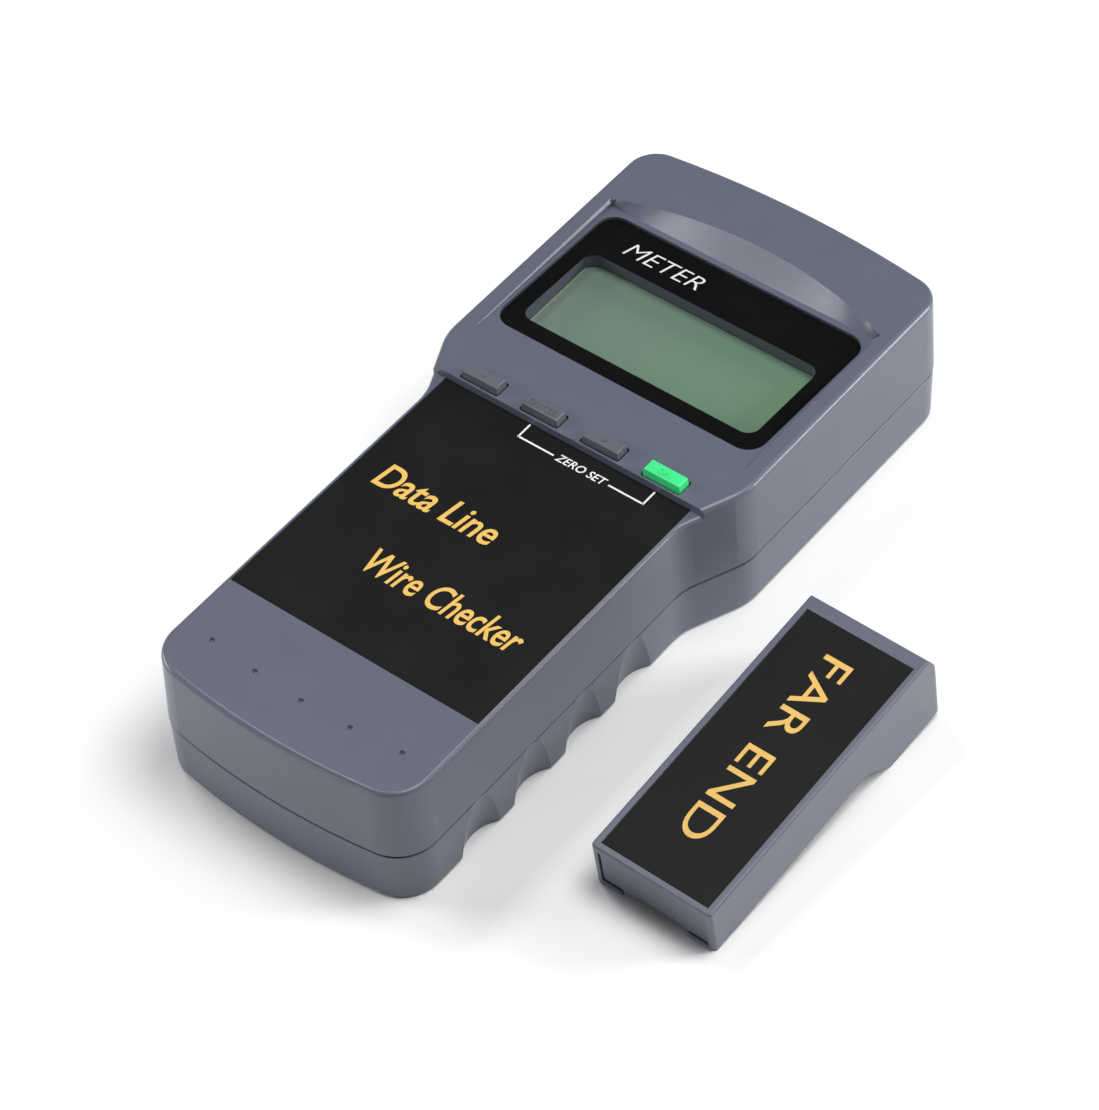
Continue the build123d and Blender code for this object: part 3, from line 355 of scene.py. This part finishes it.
def lettering(words, height, bold=0.0, slant=0.0, thickness=PRINT_THICKNESS):
    """Mesh of a line of letters, capitals height mm tall, lying in XY from its left end."""
    curve = bpy.data.curves.new(words, "FONT")
    curve.body = words
    curve.size = height / CAPITAL_SHARE * MM
    curve.offset = bold * MM
    curve.shear = slant
    curve.extrude = thickness / 2 * MM
    curve.resolution_u = 6
    holder = bpy.data.objects.new(words, curve)
    bpy.context.scene.collection.objects.link(holder)
    bpy.context.view_layer.update()
    mesh = bpy.data.meshes.new_from_object(holder.evaluated_get(bpy.context.evaluated_depsgraph_get()))
    bpy.data.objects.remove(holder)
    return mesh


def print_line(words, low_x, high_x, base_y, height, place, top_z, **style):
    """Line of letters fitted between two ends, printed on a surface at top_z of its place."""
    mesh = lettering(words, height, **style)
    xs = [v.co.x for v in mesh.vertices]
    stretch = (high_x - low_x) * MM / (max(xs) - min(xs))
    thickness = style.get("thickness", PRINT_THICKNESS)
    move = Matrix.Translation(Vector((low_x, base_y, top_z + thickness / 2)) * MM)
    mesh.transform(place @ move @ Matrix.Diagonal((stretch, 1, 1, 1)) @ Matrix.Translation((-min(xs), 0, 0)))
    return mesh


def boxes_mesh(name, boxes):
    """Mesh of several boxes, each given by its two corners."""
    bm = bmesh.new()
    for low, high in boxes:
        made = bmesh.ops.create_cube(bm, size=1.0)
        size = Vector(high) - Vector(low)
        middle = (Vector(high) + Vector(low)) / 2
        matrix = Matrix.Translation(middle * MM) @ Matrix.Diagonal((*(size * MM), 1))
        bmesh.ops.transform(bm, matrix=matrix, verts=made["verts"])
    mesh = bpy.data.meshes.new(name)
    bm.to_mesh(mesh)
    bm.free()
    return mesh


# Printed words: text, left end, right end, base line, capital height, place and height of the face;
# then the style, body, ink and slot. The remote's word reads down the remote, with its tops to the right.
TITLE = {"bold": 0.12, "slant": 0.18}
REMOTE_WORD_PLACE = REMOTE_PLACE @ Matrix.Rotation(-math.pi / 2, 4, "Z")
PRINTED_WORDS = {
    "front_title_upper": (("Data Line", -26.4, 4.6, -25.4, 7.0, FLAT, LABEL_TOP),
                          TITLE, "main_unit", gold_ink, "label_black"),
    "front_title_lower": (("Wire Checker", -13.0, 26.6, -45.2, 7.0, FLAT, LABEL_TOP),
                          TITLE, "main_unit", gold_ink, "label_black"),
    "bracket_words": (("ZERO SET", 0.8, 13.6, 1.8, 2.1, FLAT, LABEL_TOP),
                      {"bold": 0.02, "slant": 0.2}, "main_unit", white_ink, "label_black"),
    "window_word": (("METER", -25.0, -5.0, 12.4, 4.6, WINDOW_PLACE, WINDOW_BACK),
                    {"bold": -0.08, "slant": 0.25, "thickness": 0.04}, "main_unit", white_ink, "mask_black"),
    "remote_word": (("FAR END", -63.5, -12.5, -3.4, 7.2, REMOTE_WORD_PLACE, REMOTE_LABEL_TOP),
                    {"bold": 0.01}, "remote", gold_ink, "label_black"),
}
for name, (line, style, body, colour_ink, slot) in PRINTED_WORDS.items():
    add_piece(name, print_line(*line, **style), body, colour_ink)

# Bracket round the words under the keys
BRACKET_LOW, BRACKET_HIGH = -9.35, 23.4
BRACKET_Y, BRACKET_TOP = 2.6, 6.7
LINE = 0.42
WORDS_LOW, WORDS_HIGH = 0.0, 14.4
print_z = (LABEL_TOP, LABEL_TOP + PRINT_THICKNESS)
bracket = [((x - LINE / 2, BRACKET_Y - LINE / 2, print_z[0]), (x + LINE / 2, BRACKET_TOP, print_z[1]))
           for x in (BRACKET_LOW, BRACKET_HIGH)]
bracket += [((a, BRACKET_Y - LINE / 2, print_z[0]), (b, BRACKET_Y + LINE / 2, print_z[1]))
            for a, b in ((BRACKET_LOW, WORDS_LOW), (WORDS_HIGH, BRACKET_HIGH))]
add_piece("bracket_lines", boxes_mesh("bracket_lines", bracket), "main_unit", white_ink)

# Thin strip at the edge of the display's polariser, at the foot of the well; the edge is real, its pale
# colour is a painted highlight
EDGE_X, EDGE_Y, EDGE_WIDTH, EDGE_THICKNESS = 30.9, 12.6, 0.35, 0.12
edge_z = (LCD_TOP, LCD_TOP + EDGE_THICKNESS)
edges = [((-EDGE_X, VIEW_Y + side * EDGE_Y - EDGE_WIDTH / 2, edge_z[0]),
          (EDGE_X, VIEW_Y + side * EDGE_Y + EDGE_WIDTH / 2, edge_z[1])) for side in (-1, 1)]
edges += [((side * EDGE_X - EDGE_WIDTH / 2, VIEW_Y - EDGE_Y, edge_z[0]),
           (side * EDGE_X + EDGE_WIDTH / 2, VIEW_Y + EDGE_Y, edge_z[1])) for side in (-1, 1)]
add_piece("display_edge_highlight", boxes_mesh("display_edge_highlight", edges), "main_unit",
          plastic("polariser_edge_highlight", LCD_EDGE_HIGHLIGHT, 0.4))

# Low raised signs on the keys: text, width, height
KEY_SIGNS = {1: ("-", 1.6, 1.2), 2: ("ENTER", 7.6, 1.7), 3: ("+", 1.6, 1.5), 4: ("ON", 3.2, 1.5)}
SIGN_THICKNESS, SIGN_SUNK = 0.14, 0.02
for number, (sign, width, height) in KEY_SIGNS.items():
    low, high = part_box(f"key_cap_{number}")
    middle_x = (low.x + high.x) / 2 / MM
    sign_mesh = print_line(sign, middle_x - width / 2, middle_x + width / 2, KEY_Y - height / 2, height,
                           FLAT, high.z / MM - SIGN_SUNK, bold=0.04, thickness=SIGN_THICKNESS)
    sign_material, sign_slot = (green_plastic, "key_green") if number == 4 else (key_plastic, "key_grey")
    add_piece(f"key_sign_{number}", sign_mesh, f"key_{number}", sign_material)


# ---------------------------------------------------------------- floor, lights and camera

# Softboxes: place, aim and size in millimetres, power in watts
SOFTBOXES = {
    "overhead_softbox": ((250, 150, 950), (30, 0, 0), (600, 500), 7.4),
    "ramp_softbox": ((-430, 60, 925), (0, 60, 30), (220, 180), 2.1),
    "right_softbox": ((560, 520, 240), (40, 40, 20), (260, 240), 4.6),
    "front_softbox": ((-100, -900, 130), (0, -60, 15), (500, 200), 1.2),
    "left_softbox": ((-800, -350, 320), (0, -60, 15), (400, 300), 4.6),
}
WORLD_STRENGTH = 0.06
FLOOR_HALF = 4.0      # metres
FLOOR_DROP = 0.05     # keeps the floor just clear of the faces that stand on it


def add_light(name, place, target, size, power):
    """Rectangular softbox aimed at a point."""
    light = bpy.data.lights.new(name, "AREA")
    light.shape = "RECTANGLE"
    light.size, light.size_y = size[0] * MM, size[1] * MM
    light.energy = power
    holder = bpy.data.objects.new(name, light)
    holder.location = Vector(place) * MM
    aim = (Vector(target) - Vector(place)).normalized()
    holder.rotation_mode = "QUATERNION"
    holder.rotation_quaternion = aim.to_track_quat("-Z", "Y")
    bpy.context.scene.collection.objects.link(holder)


floor_mesh = bpy.data.meshes.new("floor")
floor_mesh.from_pydata([(x * FLOOR_HALF, y * FLOOR_HALF, 0) for x, y in ((-1, -1), (1, -1), (1, 1), (-1, 1))],
                       [], [(0, 1, 2, 3)])
floor = bpy.data.objects.new("floor", floor_mesh)
floor.location.z = -FLOOR_DROP * MM
floor_mesh.materials.append(floor_material())
bpy.context.scene.collection.objects.link(floor)
floor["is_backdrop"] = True

for name, (place, target, size, power) in SOFTBOXES.items():
    add_light(name, place, target, size, power)

world = bpy.data.worlds.new("studio")
world.use_nodes = True
background = next(n for n in world.node_tree.nodes if n.type == "BACKGROUND")
background.inputs["Color"].default_value = (1, 1, 1, 1)
background.inputs["Strength"].default_value = WORLD_STRENGTH
bpy.context.scene.world = world
bpy.context.scene.view_settings.view_transform = "Standard"

azimuth, elevation, roll = (math.radians(d) for d in (CAMERA_AZIMUTH, CAMERA_ELEVATION, CAMERA_ROLL))
back = Vector((math.sin(azimuth) * math.cos(elevation), -math.cos(azimuth) * math.cos(elevation),
               math.sin(elevation)))
level_right = Vector((math.cos(azimuth), math.sin(azimuth), 0))
level_up = back.cross(level_right)
right = math.cos(roll) * level_right + math.sin(roll) * level_up
up = math.cos(roll) * level_up - math.sin(roll) * level_right
camera_data = bpy.data.cameras.new("camera")
camera_data.lens = CAMERA_LENS
camera_data.sensor_width = SENSOR
camera_data.clip_start, camera_data.clip_end = 0.05, 20.0
camera = bpy.data.objects.new("camera", camera_data)
place = Vector(CAMERA_CENTRE) + CAMERA_RIGHT * right + CAMERA_UP * up + CAMERA_DISTANCE * back
turn = Matrix((right, up, back)).transposed().to_4x4()
camera.matrix_world = Matrix.Translation(place * MM) @ turn
bpy.context.scene.collection.objects.link(camera)
bpy.context.scene.camera = camera

low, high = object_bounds()
